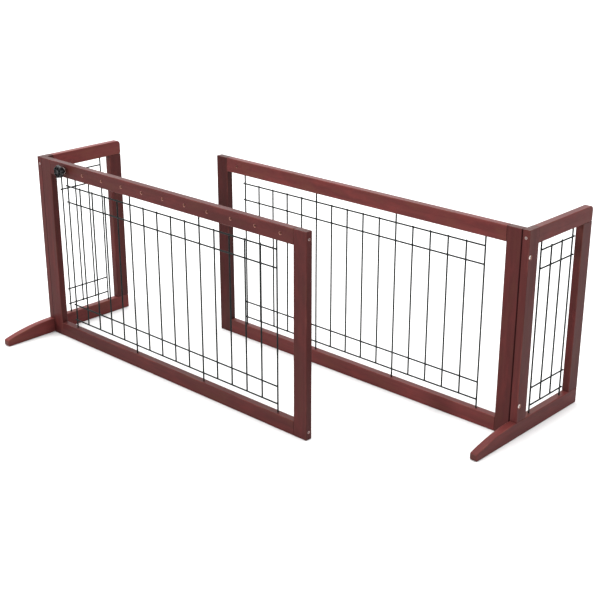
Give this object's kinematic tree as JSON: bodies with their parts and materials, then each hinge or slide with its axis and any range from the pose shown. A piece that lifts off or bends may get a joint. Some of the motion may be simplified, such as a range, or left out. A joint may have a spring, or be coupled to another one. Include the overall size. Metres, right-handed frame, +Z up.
{
  "type": "pet gate",
  "caption": "Free-standing, width-adjustable wooden pet gate: two framed wire panels, each with a bolted side wing on a forward foot, and a lock knob that sets the width.",
  "frame": {"origin": "centre of the whole gate's box on the floor, with the halves set out apart", "axes": "+X along both panels from the left half's wing to the right half's wing, +Y from the toes of the feet towards the wings' far ends, +Z up"},
  "size_m": [1.3496, 0.769, 0.51],
  "materials": {
    "stained_wood": "dark cherry stain under a satin lacquer, fine straight grain",
    "black_wire": "black powder coat, satin",
    "zinc_steel": "bright zinc plate",
    "plain_beech": "bare",
    "black_plastic": "fine moulded texture"
  },
  "bodies": {
    "left_half": {"left_panel_outer_stile": "stained_wood", "left_panel_inner_stile": "stained_wood", "left_panel_top_rail": "stained_wood", "left_panel_bottom_rail": "stained_wood", "left_wing_near_post": "stained_wood", "left_wing_far_post": "stained_wood", "left_wing_top_rail": "stained_wood", "left_wing_foot_beam": "stained_wood", "left_panel_wire_grid": "black_wire", "left_wing_wire_grid": "black_wire", "left_panel_screw_outer_bottom": "zinc_steel", "left_panel_screw_inner_bottom": "zinc_steel", "left_panel_screw_outer_top": "zinc_steel", "left_panel_screw_inner_top": "zinc_steel", "left_wing_screw_front": "zinc_steel", "left_wing_screw_near_base": "zinc_steel", "left_wing_screw_far_base": "zinc_steel", "left_wing_lower_bolt": "zinc_steel", "left_wing_lower_insert": "zinc_steel", "left_wing_upper_bolt": "zinc_steel", "left_wing_upper_insert": "zinc_steel", "left_wing_dowel": "plain_beech"},
    "right_half": {"right_panel_outer_stile": "stained_wood", "right_panel_inner_stile": "stained_wood", "right_panel_top_rail": "stained_wood", "right_panel_bottom_rail": "stained_wood", "right_wing_near_post": "stained_wood", "right_wing_far_post": "stained_wood", "right_wing_top_rail": "stained_wood", "right_wing_foot_beam": "stained_wood", "right_panel_wire_grid": "black_wire", "right_wing_wire_grid": "black_wire", "right_panel_screw_outer_bottom": "zinc_steel", "right_panel_screw_inner_bottom": "zinc_steel", "right_panel_screw_outer_top": "zinc_steel", "right_panel_screw_inner_top": "zinc_steel", "right_wing_screw_front": "zinc_steel", "right_wing_screw_near_base": "zinc_steel", "right_wing_screw_far_base": "zinc_steel", "right_wing_lower_bolt": "zinc_steel", "right_wing_lower_insert": "zinc_steel", "right_wing_upper_bolt": "zinc_steel", "right_wing_upper_insert": "zinc_steel", "right_wing_dowel": "plain_beech", "tee_nut": "zinc_steel"},
    "knob_washer": {"knob_washer": "zinc_steel"},
    "lock_knob": {"lock_knob": "black_plastic", "knob_stud": "zinc_steel"}
  },
  "joints": [
    {"name": "width_slide", "type": "slide", "parent": "left_half", "child": "right_half", "axis": [1, 0, 0], "range_m": [-0.308, 0.492]},
    {"name": "knob_withdraw", "type": "slide", "parent": "left_half", "child": "knob_washer", "axis": [0, -1, 0], "range_m": [0, 0.04]},
    {"name": "knob_turn", "type": "hinge", "parent": "knob_washer", "child": "lock_knob", "pos_m": [-0.555, -0.2295, 0.491], "axis": [0, -1, 0], "continuous": true}
  ]
}
